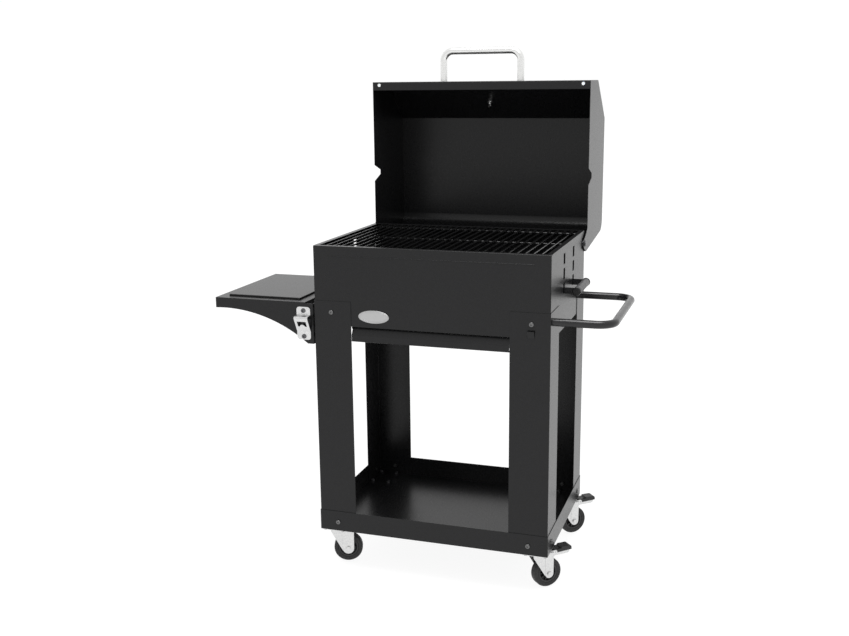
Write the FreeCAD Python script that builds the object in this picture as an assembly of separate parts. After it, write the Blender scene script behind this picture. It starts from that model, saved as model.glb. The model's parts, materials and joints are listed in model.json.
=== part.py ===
import FreeCAD, Part
import math
import os

# Charcoal grill trolley: a box-shaped firebox with a faceted lid on four sheet-metal legs, a storage
# tray on castors, a lift-off side table, a push handle and a charcoal pan on two lift-out yokes.
# Millimetres. X runs to the right of a person standing in front, Y to the back, Z up. Everything is
# drawn about the cart's centre line on the floor, with the lid open, and is moved at the end so that
# the origin is the middle of the base of the overall box.

V = FreeCAD.Vector
LEFT_RIGHT = (-1, 1)
FRONT_BACK = (-1, 1)

# ---------------------------------------------------------------- driving dimensions
WIDTH = 600.0               # storage tray, outside
DEPTH = 435.0
SHEET = 1.2                 # thickness of all sheet metal
TRAY_BOTTOM = 100.0         # height of the castors
TRAY_LIP = 53.0
LEG_FLANGE = 98.0
LEG_TOP = 707.0
FIREBOX_TOP = 844.0
FRONT_BOTTOM = 645.0
SIDE_BOTTOM = 638.0
RIM_FOLD = 12.0             # width of the folded-in rim
BEAD_HEIGHT = 820.0

GRATE_WIRE = 2.5            # wire radius
GRATE_PITCH = 20.0
GRATE_LEVEL = 840.5         # centre of the long wires
GRATE_LENGTH = 400.0
GRATE_HALF_WIRES = 14
CROSS_WIRES_Y = (-186.0, 0.0, 186.0)
LEDGE_INNER_Y = 190.5

PAN_HALF_X = 289.0
PAN_HALF_Y = 188.0
PAN_RIM = 741.8
PAN_DEPTH = 62.0
SLOT_Y = 59.0               # the yokes' slots in the side panels
SLOT_WIDTH = 20.0
SLOT_HEIGHT = 26.5
SLOT_SILLS = (725.0, 761.5, 798.0)
YOKE_ARM = (3.0, 15.0)      # thickness and height of a yoke's arm
YOKE_END_X = 277.0          # inner ends of the arms, under the pan's rim
YOKE_GRIP_X = 330.0
YOKE_GRIP_RADIUS = 10.0
YOKE_SCREW = 2.5

DRAWER_HALF_WIDTH = 200.0
DRAWER_FLANGE_X = 199.5
DRAWER_BOTTOM = 607.0
DRAWER_BEVEL = 624.0        # where the drawer's front begins to lean back
DRAWER_TOP = 641.5
DRAWER_LEAN = 10.0
DRAWER_LENGTH = 400.0
RAIL_X = 203.0
RAIL_LIP_X = 195.0
RAIL_LIP_TOP = 637.8
FLOOR_OPENING = (188.0, 190.0)

HINGE_Y = 195.0
HINGE_Z = 811.0
HINGE_RADIUS = 4.0
LID_GAP = 1.8               # the closed lid stands this far above the rim on its bumpers
LID_HALF_WIDTH = 301.0
LID_FRONT_Z = 1232.3        # the lid is drawn open: this face is its front when it is closed
LID_CHAMFER_Y = 347.0
LID_TOP_Y = 473.0
LID_CHAMFER_Z = 1127.0
LID_BEND_RADIUS = 34.0
LID_FLANGE = 22.0
LID_BACK_Z = 787.0          # height of the open lid's lowest edge
LID_BACK_SLOPE = 0.105
BUMPER_X = 283.0
BUMPER_Z = 1224.0
NOTCH_Z = (961.0, 977.0, 989.0, 1005.0)
NOTCH_DEPTH = 46.0
THERMO_X = -14.0
THERMO_STEM = 4.0
THERMO_RADIUS = 27.0
THERMO_GLASS_RADIUS = 23.95

HANDLE_TUBE = 9.5
LID_HANDLE_SPACING = 215.0
LID_HANDLE_REACH = 90.0
LID_HANDLE_Y = 267.0
LID_HANDLE_BEND = 27.0
PUSH_Y = (-198.0, 137.0)
PUSH_Z = 684.0
PUSH_REACH_X = 439.5
PUSH_BEND = 40.0

TABLE_OUTER_X = -574.0
TABLE_INNER_X = -324.0
TABLE_Y = (-216.0, 129.0)
TABLE_TOP = 700.0
TABLE_APRON = 27.0
TABLE_PANEL_RISE = 4.5
TABLE_PANEL_INSET = 25.0
BRACKET_END_X = -302.5
BRACKET_LOW = 594.5
BRACKET_TAB_TOP = TABLE_TOP - 3.0
BRACKET_ARC_END = -319.0
BRACKET_ARC_MIDDLE = (-424.0, 652.0)
TABLE_SCREW_Z = (688.0, 615.0)
SHOULDER = 5.2              # free length of the screws that the table hangs on
KEYHOLE_DROP = 14.0
OPENER_X = -328.0
OPENER_HALF = 18.5
OPENER_SHEET = 2.0
OPENER_TOP = 688.5
OPENER_BOTTOM = 604.5
OPENER_NOSE = 20.0          # how far the nose stands out
OPENER_SCREWS = (679.0, 613.0)

CASTOR_X = 267.0
CASTOR_Y = 170.0
CASTOR_TRAIL = 22.0
CASTOR_PLATE = (32.5, 45.0, 2.5)    # half width, half depth and thickness of the top plate
CASTOR_BOLT_X = 24.0
CASTOR_BOLT_Y = 36.0
CASTOR_BOLT_RADIUS = 3.0
WHEEL_RADIUS = 37.5
AXLE_Z = WHEEL_RADIUS - 3.0         # the wheels stand 3 mm below the drawing's zero
WHEEL_HALF_WIDTH = 12.0
HUB_RADIUS = 26.0
AXLE_RADIUS = 4.0
RUNNING_GAP = 0.05
# how far each castor is swivelled: the wheel trails towards +X at 0 and towards +Y at 90 degrees
CASTOR_TURN = {"front_left": 20.0, "front_right": 42.0, "rear_left": 20.0, "rear_right": 40.0}
KING_PIN = 5.0
FORK_TOP = 91.0
FORK_SHEET = 2.2
FORK_INNER = 16.0           # half the gap between the fork's cheeks
FORK_FRONT = -23.0          # the crown's front end, from the swivel axis
FORK_TOE = {"left": 15.0, "right": 11.5}    # radius of the cheeks' round ends
# the brake, in distances behind the swivel axis and heights
BRAKE_EARS = (22.0, 45.0, 77.0, 93.0)
BRAKE_ARM = (28.0, 84.0, 76.0, 85.0)
BRAKE_ARM_HALF = 9.0
PEDAL_PIVOT = (40.0, 88.5)
PEDAL_PIN = 2.0
PEDAL_STEP = 58.0
PEDAL_END = 88.0
PEDAL_SKIRT = (9.6, 12.8)   # inner and outer half width

FRAME_SCREW_RADIUS = 3.0
LEG_SCREW_X = 253.0
LEG_SCREW_Z = 679.0
LIP_SCREW_X = 250.0
LIP_SCREW_Y = 173.0
LIP_SCREW_Z = 123.5
HOOK_X = 252.0
HOOK_Z = (646.0, 664.0)
HOOK_WIDTH = 17.0
LEDGE_TOP = GRATE_LEVEL - GRATE_WIRE - 0.3
LEDGE_LENGTH = 566.0

# faces of the nested skins: the tray is outside the legs, and the legs are outside the firebox
LEG_X = WIDTH / 2 - SHEET
LEG_Y = DEPTH / 2 - SHEET
BOX_X = LEG_X - SHEET
BOX_Y = LEG_Y - SHEET
LID_OPEN_Y = HINGE_Y + (FIREBOX_TOP + LID_GAP - HINGE_Z)
# the open lid rests with its back edge against the firebox
LID_STOP = (BOX_Y + 0.3, LID_BACK_Z)
CORNER_GAP = 1.8            # left open between the front or back panel and the side panels


# ---------------------------------------------------------------- drawing helpers
def box(x, y, z):
    """A block between two X, two Y and two Z values."""
    low = V(min(x), min(y), min(z))
    return Part.makeBox(abs(x[1] - x[0]), abs(y[1] - y[0]), abs(z[1] - z[0]), low)


def rod(start, direction, radius, length):
    return Part.makeCylinder(radius, length, V(*start), V(*direction))


def fuse(shapes):
    shapes = list(shapes)
    whole = shapes[0]
    if len(shapes) > 1:
        whole = whole.multiFuse(shapes[1:])
    return whole.removeSplitter()


def cut(shape, tools):
    for tool in tools:
        shape = shape.cut(tool)
    return shape


def group(shapes):
    return Part.makeCompound(list(shapes))


def moved(shape, x=0.0, y=0.0, z=0.0):
    result = shape.copy()
    result.translate(V(x, y, z))
    return result


def turned(shape, degrees, axis=(0, 0, 1), centre=(0, 0, 0)):
    result = shape.copy()
    result.rotate(V(*centre), V(*axis), degrees)
    return result


def in_yz(u, v):
    return V(0, u, v)


def in_xz(u, v):
    return V(u, 0, v)


def in_xy(u, v):
    return V(u, v, 0)


def unit(a, b):
    length = math.hypot(b[0] - a[0], b[1] - a[1])
    return (b[0] - a[0]) / length, (b[1] - a[1]) / length


def turn_at(points, i):
    """The turn at a corner of a flat path, in radians, positive to the left."""
    before = unit(points[i - 1], points[i])
    after = unit(points[i], points[i + 1])
    cross = before[0] * after[1] - before[1] * after[0]
    return math.atan2(cross, before[0] * after[0] + before[1] * after[1])


def offset_path(points, distance):
    """The path shifted to its left, with mitred corners."""
    result = []
    for i, point in enumerate(points):
        if i == 0 or i == len(points) - 1:
            along = unit(*(points[:2] if i == 0 else points[-2:]))
            result.append((point[0] - along[1] * distance, point[1] + along[0] * distance))
            continue
        before = unit(points[i - 1], point)
        after = unit(point, points[i + 1])
        scale = distance / (1 + before[0] * after[0] + before[1] * after[1])
        result.append((point[0] - (before[1] + after[1]) * scale, point[1] + (before[0] + after[0]) * scale))
    return result


def rounded_edges(points, radii, place):
    """Straight runs joined by tangent arcs; radii has one value for each inner corner."""
    edges = []
    start = points[0]
    for i in range(1, len(points) - 1):
        radius = radii[i - 1]
        turn = turn_at(points, i)
        if radius <= 0:
            edges.append(Part.LineSegment(place(*start), place(*points[i])).toShape())
            start = points[i]
            continue
        before = unit(points[i - 1], points[i])
        after = unit(points[i], points[i + 1])
        reach = radius * math.tan(abs(turn) / 2)
        first = (points[i][0] - before[0] * reach, points[i][1] - before[1] * reach)
        last = (points[i][0] + after[0] * reach, points[i][1] + after[1] * reach)
        inward = unit(before, after)
        centre_distance = radius / math.cos(turn / 2)
        middle = tuple(points[i][k] + inward[k] * (centre_distance - radius) for k in (0, 1))
        edges.append(Part.LineSegment(place(*start), place(*first)).toShape())
        edges.append(Part.Arc(place(*first), place(*middle), place(*last)).toShape())
        start = last
    edges.append(Part.LineSegment(place(*start), place(*points[-1])).toShape())
    return edges


def bent_sheet(points, radii, thickness, place, along):
    """A folded sheet: a flat path thickened to its left and drawn out along a direction."""
    inner = offset_path(points, thickness)
    inner_radii = []
    for i, radius in enumerate(radii, start=1):
        towards_left = turn_at(points, i) > 0
        inner_radii.append(radius - thickness if towards_left else radius + thickness)
    edges = rounded_edges(points, radii, place)
    edges += rounded_edges(inner, inner_radii, place)
    edges.append(Part.LineSegment(place(*points[0]), place(*inner[0])).toShape())
    edges.append(Part.LineSegment(place(*points[-1]), place(*inner[-1])).toShape())
    wire = Part.Wire(Part.__sortEdges__(edges))
    return Part.Face(wire).extrude(V(*along))


def flat_plate(points, place, along):
    """A flat plate with straight edges, given its outline and its thickness as a vector."""
    corners = [place(*p) for p in points]
    return Part.Face(Part.makePolygon(corners + corners[:1])).extrude(V(*along))


def tube_along(edges, radius):
    """A solid round bar along a path."""
    path = Part.Wire(edges)
    first = path.OrderedEdges[0]
    start = first.valueAt(first.FirstParameter)
    along = first.tangentAt(first.FirstParameter)
    section = Part.Wire(Part.makeCircle(radius, start, along))
    return path.makePipeShell([section], True, False)


def ring(centre, axis, outer, inner, height):
    return rod(centre, axis, outer, height).cut(rod(centre, axis, inner, height))


# ---------------------------------------------------------------- fasteners
def hexagon(centre, axis, across_flats, height, bore=0.0):
    radius = across_flats / math.sqrt(3)
    corners = [V(radius * math.cos(math.radians(a)), radius * math.sin(math.radians(a)), 0)
               for a in range(0, 361, 60)]
    prism = Part.Face(Part.makePolygon(corners)).extrude(V(0, 0, height))
    if bore:
        prism = prism.cut(Part.makeCylinder(bore, height))
    prism.Placement = FreeCAD.Placement(V(*centre), FreeCAD.Rotation(V(0, 0, 1), V(*axis)))
    return prism


def pan_screw(point, outward, radius, grip, head_radius, head_height, with_nut=True):
    """A round-headed screw whose head sits on the face at point, and its nut behind the grip."""
    inward = tuple(-c for c in outward)
    head = rod(point, outward, head_radius, head_height)
    crown = [e for e in head.Edges if e.Closed and
             (e.CenterOfMass - V(*point)).Length > head_height / 2]
    head = head.makeFillet(head_height * 0.6, crown)
    drive = hexagon(tuple(p + o * head_height * 0.35 for p, o in zip(point, outward)), outward,
                    head_radius * 0.7, head_height)
    nut_height = radius * 1.6
    shank = rod(point, inward, radius, grip + (nut_height if with_nut else 0) + 1.5)
    screw = head.fuse(shank).cut(drive)
    if not with_nut:
        return [screw]
    seat = tuple(p + i * grip for p, i in zip(point, inward))
    return [screw, hexagon(seat, inward, radius * 3.3, nut_height, bore=radius + RUNNING_GAP)]


def screw_hole(point, outward, radius, depth=12.0):
    start = tuple(p + o * depth / 2 for p, o in zip(point, outward))
    return rod(start, tuple(-c for c in outward), radius, depth)


def frame_screw_places():
    """Where the legs are screwed to the firebox and to the tray: a point and an outward direction."""
    places = []
    for sy in FRONT_BACK:
        for sx in LEFT_RIGHT:
            places.append(((sx * LEG_SCREW_X, sy * LEG_Y, LEG_SCREW_Z), (0, sy, 0)))
            places.append(((sx * LIP_SCREW_X, sy * DEPTH / 2, LIP_SCREW_Z), (0, sy, 0)))
            places.append(((sx * WIDTH / 2, sy * LIP_SCREW_Y, LIP_SCREW_Z), (sx, 0, 0)))
    return places


def side_screw_places():
    """The push handle's two bolts, and the four shoulder screws that the table hangs on."""
    places = [((LEG_X, y, PUSH_Z), (1, 0, 0)) for y in PUSH_Y]
    places += [((-LEG_X, y, z), (-1, 0, 0)) for y in PUSH_Y for z in TABLE_SCREW_Z]
    return places


def frame_screws():
    solids = []
    for point, outward in frame_screw_places():
        solids += pan_screw(point, outward, FRAME_SCREW_RADIUS, 2 * SHEET, 6.0, 3.2)
    return group(solids)


def side_screws():
    """Bolts from inside into the push handle's ends, and shoulder screws in the left legs."""
    solids = []
    for y in PUSH_Y:
        seat = (BOX_X - SHEET, y, PUSH_Z)
        bolt = rod(seat, (1, 0, 0), FRAME_SCREW_RADIUS, 28.0)
        head = hexagon(seat, (-1, 0, 0), 10.0, 4.5)
        solids.append(bolt.fuse(head))
        for z in TABLE_SCREW_Z:
            grip = 2 * SHEET if z > SIDE_BOTTOM else SHEET
            shoulder_start = (-LEG_X, y, z)
            shoulder = rod(shoulder_start, (-1, 0, 0), 4.0, SHOULDER)
            head = rod((-LEG_X - SHOULDER, y, z), (-1, 0, 0), 7.0, 2.5)
            shank = rod(shoulder_start, (1, 0, 0), FRAME_SCREW_RADIUS, grip + 6.0)
            nut = hexagon((-LEG_X + grip, y, z), (1, 0, 0), 10.0, 4.8, bore=FRAME_SCREW_RADIUS + RUNNING_GAP)
            solids += [fuse([shoulder, head, shank]), nut]
    return group(solids)


def clear_of_screws(shape):
    """Cuts the holes that the frame's screws pass through."""
    tools = [screw_hole(p, o, FRAME_SCREW_RADIUS + 0.2) for p, o in frame_screw_places() + side_screw_places()]
    return cut(shape, [t for t in tools if t.BoundBox.intersect(shape.BoundBox)])


# ---------------------------------------------------------------- cart: tray, legs and castor plates
CASTOR_BOLTS = [(x, y) for x in (-CASTOR_BOLT_X, CASTOR_BOLT_X) for y in (-CASTOR_BOLT_Y, CASTOR_BOLT_Y)]


def castor_centres():
    return {"front_left": (-CASTOR_X, -CASTOR_Y), "front_right": (CASTOR_X, -CASTOR_Y),
            "rear_left": (-CASTOR_X, CASTOR_Y), "rear_right": (CASTOR_X, CASTOR_Y)}


def castor_bolt_places():
    return [(cx + x, cy + y) for cx, cy in castor_centres().values() for x, y in CASTOR_BOLTS]


def storage_tray():
    x, y = WIDTH / 2, DEPTH / 2
    outside = box((-x, x), (-y, y), (TRAY_BOTTOM, TRAY_BOTTOM + TRAY_LIP))
    upright = [e for e in outside.Edges if abs(e.tangentAt(0).z) > 0.9]
    outside = outside.makeFillet(SHEET * 1.5, upright)
    inside = box((-x + SHEET, x - SHEET), (-y + SHEET, y - SHEET),
                 (TRAY_BOTTOM + SHEET, TRAY_BOTTOM + TRAY_LIP))
    upright = [e for e in inside.Edges if abs(e.tangentAt(0).z) > 0.9]
    inside = inside.makeFillet(SHEET * 0.5, upright)
    tray = clear_of_screws(outside.cut(inside))
    holes = [rod((px, py, TRAY_BOTTOM - 1), (0, 0, 1), CASTOR_BOLT_RADIUS + 0.2, 5)
             for px, py in castor_bolt_places()]
    return cut(tray, holes)


def leg(sx, sy):
    """An equal angle with its corner at the outside of the cart, standing on the tray's floor."""
    base = TRAY_BOTTOM + SHEET
    corner = [(LEG_X - LEG_FLANGE, -LEG_Y), (LEG_X, -LEG_Y), (LEG_X, -LEG_Y + LEG_FLANGE)]
    angle = bent_sheet(corner, [2.0], SHEET, in_xy, (0, 0, LEG_TOP - base))
    angle = moved(angle, z=base)
    if sx < 0:
        angle = angle.mirror(V(0, 0, 0), V(1, 0, 0))
    if sy > 0:
        angle = angle.mirror(V(0, 0, 0), V(0, 1, 0))
    return clear_of_screws(angle)


def leg_front_right():
    """This leg also has a tongue cut on three sides and leaned out from its fold, as a tool hook."""
    angle = leg(1, -1)
    low, high = HOOK_Z
    half = HOOK_WIDTH / 2
    window = box((HOOK_X - half - 1, HOOK_X + half + 1), (-LEG_Y - 5, -LEG_Y + 5), (low, high + 1.5))
    tongue = box((HOOK_X - half, HOOK_X + half), (-LEG_Y, -LEG_Y + SHEET), (low - 0.25, high))
    tongue = turned(tongue, 22, (1, 0, 0), (0, -LEG_Y, low))
    return fuse([angle.cut(window), tongue])


def castor_plates():
    """The four top plates with their raceways and king pins."""
    plates = []
    for cx, cy in castor_centres().values():
        half_x, half_y, thickness = CASTOR_PLATE
        under = TRAY_BOTTOM - thickness
        plate = box((-half_x, half_x), (-half_y, half_y), (under, TRAY_BOTTOM))
        upright = [e for e in plate.Edges if abs(e.tangentAt(0).z) > 0.9]
        plate = plate.makeFillet(8.0, upright)
        raceway = Part.makeCone(23.0, 20.0, 4.5, V(0, 0, under), V(0, 0, -1))
        pin = rod((0, 0, under), (0, 0, -1), KING_PIN, 14.5)
        rivet = rod((0, 0, FORK_TOP - FORK_SHEET - 0.3), (0, 0, -1), KING_PIN + 3.5, 2.2)
        holes = [rod((x, y, TRAY_BOTTOM - 4), (0, 0, 1), CASTOR_BOLT_RADIUS + 0.2, 6) for x, y in CASTOR_BOLTS]
        plates.append(moved(cut(fuse([plate, raceway, pin, rivet]), holes), cx, cy))
    return group(plates)


def castor_bolts():
    """Sixteen bolts from below with their nuts on the tray's floor."""
    solids = []
    seat = TRAY_BOTTOM - CASTOR_PLATE[2]
    grip = CASTOR_PLATE[2] + SHEET
    for x, y in castor_bolt_places():
        bolt = fuse([hexagon((x, y, seat), (0, 0, -1), 9.5, 3.0),
                     rod((x, y, seat), (0, 0, 1), CASTOR_BOLT_RADIUS, grip + 6.5)])
        nut = hexagon((x, y, seat + grip), (0, 0, 1), 9.5, 5.0, bore=CASTOR_BOLT_RADIUS + RUNNING_GAP)
        solids += [bolt, nut]
    return group(solids)


# ---------------------------------------------------------------- castors
def on_castor(shape, name):
    cx, cy = castor_centres()[name]
    return moved(turned(shape, CASTOR_TURN[name]), cx, cy)


def fork_cheek(side, toe_radius):
    """One cheek: an upright band with a round toe about the axle, and a web running up to the crown."""
    rear = CASTOR_TRAIL + toe_radius + 0.5
    shoulder = FORK_TOP - 7.0
    ahead, below = CASTOR_TRAIL - FORK_FRONT, shoulder - AXLE_Z
    slope = math.atan2(below, ahead) + math.asin(toe_radius / math.hypot(ahead, below))
    touch = (CASTOR_TRAIL - toe_radius * math.sin(slope), AXLE_Z - toe_radius * math.cos(slope))
    outline = [(FORK_FRONT, FORK_TOP), (rear, FORK_TOP), (CASTOR_TRAIL + toe_radius, AXLE_Z), touch,
               (FORK_FRONT, shoulder)]
    plate = flat_plate(outline, in_xz, (0, side * FORK_SHEET, 0))
    toe = rod((CASTOR_TRAIL, 0, AXLE_Z), (0, side, 0), toe_radius, FORK_SHEET)
    return moved(plate.fuse(toe), y=side * FORK_INNER)


def castor_fork(name):
    """The two castors on the right have brakes and narrower cheeks."""
    hand = name.split("_")[1]
    toe_radius = FORK_TOE[hand]
    outer = FORK_INNER + FORK_SHEET
    crown = box((FORK_FRONT, CASTOR_TRAIL + toe_radius + 0.5), (-outer, outer), (FORK_TOP - FORK_SHEET, FORK_TOP))
    bowl = rod((0, 0, FORK_TOP), (0, 0, 1), 21.0, 1.6)
    pieces = [crown, bowl, fork_cheek(-1, toe_radius), fork_cheek(1, toe_radius)]
    holes = [rod((0, 0, FORK_TOP - 10), (0, 0, 1), KING_PIN + RUNNING_GAP, 20),
             rod((CASTOR_TRAIL, -30, AXLE_Z), (0, 1, 0), AXLE_RADIUS + RUNNING_GAP, 60)]
    if hand == "right":
        pieces.append(brake_arm())
        holes.append(rod((PEDAL_PIVOT[0], -30, PEDAL_PIVOT[1]), (0, 1, 0), PEDAL_PIN + RUNNING_GAP, 60))
    return on_castor(cut(fuse(pieces), holes), name)


def brake_arm():
    """Two ears that carry the pedal's pin, a web between them, and the channel that runs out below the pedal."""
    near, far, low, high = BRAKE_EARS
    ears = [box((near, far), (side * FORK_INNER, side * (FORK_INNER - FORK_SHEET)), (low, high))
            for side in LEFT_RIGHT]
    start, end, bottom, top = BRAKE_ARM
    web = box((start, start + 5), (-FORK_INNER, FORK_INNER), (low, FORK_TOP - 1))
    channel = box((start + 3, end), (-BRAKE_ARM_HALF, BRAKE_ARM_HALF), (bottom, top))
    inner = BRAKE_ARM_HALF - FORK_SHEET
    channel = channel.cut(box((start + 8, end + 1), (-inner, inner), (bottom - 1, top - FORK_SHEET)))
    hole = rod((end - 5, -20, bottom + 4), (0, 1, 0), 1.8, 40)
    return fuse(ears + [web, channel.cut(hole)])


def castor_axle(name):
    half = FORK_INNER + FORK_SHEET
    shaft = rod((CASTOR_TRAIL, -half, AXLE_Z), (0, 1, 0), AXLE_RADIUS, 2 * half + 5.5)
    head = hexagon((CASTOR_TRAIL, -half, AXLE_Z), (0, -1, 0), 11.0, 3.5)
    nut = hexagon((CASTOR_TRAIL, half, AXLE_Z), (0, 1, 0), 11.0, 5.0, bore=AXLE_RADIUS + RUNNING_GAP)
    return on_castor(group([shaft.fuse(head), nut]), name)


def about_axle(radius, half_width):
    return rod((CASTOR_TRAIL, -half_width, AXLE_Z), (0, 1, 0), radius, 2 * half_width)


def castor_tyre(name):
    """A rubber tread with rounded shoulders."""
    outer = about_axle(WHEEL_RADIUS, WHEEL_HALF_WIDTH)
    outer = outer.makeFillet(5.0, [e for e in outer.Edges if e.Closed])
    return on_castor(outer.cut(about_axle(HUB_RADIUS, 20)), name)


def castor_hub(name):
    """A moulded hub: a rim, a thin web and a boss on the axle."""
    rim = about_axle(HUB_RADIUS, 10).cut(about_axle(HUB_RADIUS - 4, 10))
    web = about_axle(HUB_RADIUS - 2, 4)
    boss = about_axle(9.0, FORK_INNER - 0.5)
    return on_castor(fuse([rim, web, boss]).cut(about_axle(AXLE_RADIUS + RUNNING_GAP, 20)), name)


def brake_pedal(name):
    """A foot pedal that straddles the arm: a low neck on a cross pin, then a raised and sloping foot pad."""
    start, height = PEDAL_PIVOT
    low, neck_top, pad_top = height - 4.5, height + 4.5, height + 8.5
    side = [(start - 4, low), (PEDAL_END, low + 2), (PEDAL_END, pad_top - 5), (PEDAL_END - 9, pad_top),
            (PEDAL_STEP + 2, pad_top), (PEDAL_STEP, neck_top), (start - 4, neck_top)]
    inner, outer = PEDAL_SKIRT
    wedge = moved(flat_plate(side, in_xz, (0, 2 * outer, 0)), y=-outer)
    roof = 2.5
    under_neck = box((start + 3, PEDAL_STEP + 1), (-inner, inner), (low - 1, neck_top - roof))
    under_pad = box((PEDAL_STEP, PEDAL_END - 2), (-inner, inner), (low - 1, pad_top - 2 * roof))
    behind_pin = box((start - 5, start + 4), (-inner, inner), (low - 1, height - 2.2))
    pin = rod((start, -FORK_INNER, height), (0, 1, 0), PEDAL_PIN, 2 * FORK_INNER)
    return on_castor(cut(wedge, [under_neck, under_pad, behind_pin]).fuse(pin), name)


# ---------------------------------------------------------------- firebox
def rimmed_panel():
    """A panel that faces -Y: its top is folded in, a bead stiffens it, and a ledge inside carries the grates."""
    half = BOX_X - 0.8
    path = [(-BOX_Y, FRONT_BOTTOM), (-BOX_Y, FIREBOX_TOP), (-BOX_Y + RIM_FOLD, FIREBOX_TOP)]
    # the path is thickened to its left, so it runs down the outside from the fold
    skin = bent_sheet(path[::-1], [2.0], SHEET, in_yz, (2 * half, 0, 0))
    ledge_path = [(-LEDGE_INNER_Y, LEDGE_TOP), (-BOX_Y + SHEET, LEDGE_TOP), (-BOX_Y + SHEET, LEDGE_TOP - 18)]
    ledge = bent_sheet(ledge_path, [2.0], SHEET, in_yz, (LEDGE_LENGTH, 0, 0))
    panel = moved(skin, -half).fuse(moved(ledge, -LEDGE_LENGTH / 2))
    bead = rod((-LEDGE_LENGTH / 2 + 25, -BOX_Y + 0.4, BEAD_HEIGHT), (1, 0, 0), 1.3, LEDGE_LENGTH - 50)
    return panel.fuse(bead)


def firebox_front():
    return clear_of_screws(rimmed_panel())


def firebox_back():
    return clear_of_screws(rimmed_panel().mirror(V(0, 0, 0), V(0, 1, 0)))


def firebox_side(side):
    """A side panel with its folded rim, the yoke's six slots and the hinge pin's hole."""
    half = BOX_Y - SHEET - CORNER_GAP
    rim_half = BOX_Y - RIM_FOLD - 0.2
    wall = box((BOX_X - SHEET, BOX_X), (-half, half), (SIDE_BOTTOM, FIREBOX_TOP - SHEET - 0.2))
    rim = box((BOX_X - RIM_FOLD, BOX_X), (-rim_half, rim_half), (FIREBOX_TOP - SHEET, FIREBOX_TOP))
    rise = box((BOX_X - SHEET, BOX_X), (-rim_half, rim_half), (FIREBOX_TOP - 2 * SHEET, FIREBOX_TOP))
    panel = fuse([wall, rise, rim])
    slots = []
    for y in (-SLOT_Y, SLOT_Y):
        for sill in SLOT_SILLS:
            slots.append(box((BOX_X - 5, BOX_X + 5), (y - SLOT_WIDTH / 2, y + SLOT_WIDTH / 2),
                             (sill, sill + SLOT_HEIGHT)))
    slots.append(rod((BOX_X - 5, HINGE_Y, HINGE_Z), (1, 0, 0), HINGE_RADIUS + RUNNING_GAP, 10))
    panel = cut(panel, slots)
    if side < 0:
        panel = panel.mirror(V(0, 0, 0), V(1, 0, 0))
    return clear_of_screws(panel)


def firebox_floor():
    """The plate under the pan, open in the middle so that ash falls into the drawer."""
    x, y = BOX_X - SHEET, BOX_Y - SHEET
    plate = box((-x, x), (-y, y), (FRONT_BOTTOM, FRONT_BOTTOM + SHEET))
    hole_x, hole_y = FLOOR_OPENING
    return plate.cut(box((-hole_x, hole_x), (-hole_y, hole_y), (FRONT_BOTTOM - 1, FRONT_BOTTOM + 5)))


def drawer_rails():
    """Two folded rails under the floor plate; the drawer's flanges run on their lips."""
    rails = []
    for side in LEFT_RIGHT:
        path = [(RAIL_LIP_X, RAIL_LIP_TOP - SHEET), (RAIL_X + SHEET, RAIL_LIP_TOP - SHEET),
                (RAIL_X + SHEET, FRONT_BOTTOM - SHEET), (RAIL_X + 16, FRONT_BOTTOM - SHEET)]
        rail = bent_sheet(path, [1.5, 0.4], SHEET, in_xz, (0, DRAWER_LENGTH + 6, 0))
        rail = moved(rail, y=-(DRAWER_LENGTH + 6) / 2)
        if side < 0:
            rail = rail.mirror(V(0, 0, 0), V(1, 0, 0))
        rails.append(rail)
    return group(rails)


def ash_drawer():
    """A folded pan with running flanges and a front whose upper half leans back."""
    half = DRAWER_HALF_WIDTH
    wall_x = RAIL_LIP_X - 3.0
    floor_z = DRAWER_BOTTOM + 0.6
    flange_z = RAIL_LIP_TOP + 0.3 + SHEET
    front_y = -LEG_Y
    back_y = front_y + DRAWER_LENGTH
    path = [(-DRAWER_FLANGE_X, flange_z), (-wall_x, flange_z), (-wall_x, floor_z), (wall_x, floor_z),
            (wall_x, flange_z), (DRAWER_FLANGE_X, flange_z)]
    body = bent_sheet(path, [1.6, 1.6 + SHEET, 1.6 + SHEET, 1.6], SHEET, in_xz, (0, DRAWER_LENGTH - 14, 0))
    body = moved(body, y=front_y + 14)
    back = box((-wall_x, wall_x), (back_y - SHEET, back_y), (floor_z, flange_z - 2))
    front_path = [(front_y + 14 + SHEET, floor_z), (front_y, floor_z), (front_y, DRAWER_BEVEL),
                  (front_y + DRAWER_LEAN, DRAWER_TOP), (front_y + DRAWER_LEAN + 2.5, DRAWER_TOP - 2)]
    front = bent_sheet(front_path[::-1], [0.4, 2.0, 2.0], SHEET, in_yz, (2 * half, 0, 0))
    front = moved(front, -half)
    inner_wall = box((-wall_x, wall_x), (front_y + 14, front_y + 14 + SHEET), (floor_z, flange_z - 2))
    return fuse([body, back, front, inner_wall])


def charcoal_pan():
    """A deep pan with an outward rim and rows of ash slots in its floor."""
    x, y = PAN_HALF_X - 14, PAN_HALF_Y - 10
    low = PAN_RIM - PAN_DEPTH
    outside = box((-x, x), (-y, y), (low, PAN_RIM))
    edges = [e for e in outside.Edges if e.CenterOfMass.z < PAN_RIM - 1]
    outside = outside.makeFillet(12.0, edges)
    inside = box((-x + SHEET, x - SHEET), (-y + SHEET, y - SHEET), (low + SHEET, PAN_RIM + 20))
    edges = [e for e in inside.Edges if e.CenterOfMass.z < PAN_RIM + 15]
    inside = inside.makeFillet(12.0 - SHEET, edges)
    bowl = outside.cut(inside)
    slots = []
    for column in range(-4, 5):
        for row in (-1, 0, 1):
            centre_x, centre_y = column * 52.0, row * 100.0
            slots.append(box((centre_x - 5, centre_x + 5), (centre_y - 34, centre_y + 34), (low - 5, low + 5)))
    return group([bowl.cut(Part.makeCompound(slots))] + pan_rim(outside, x, y - 12.0))


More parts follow.
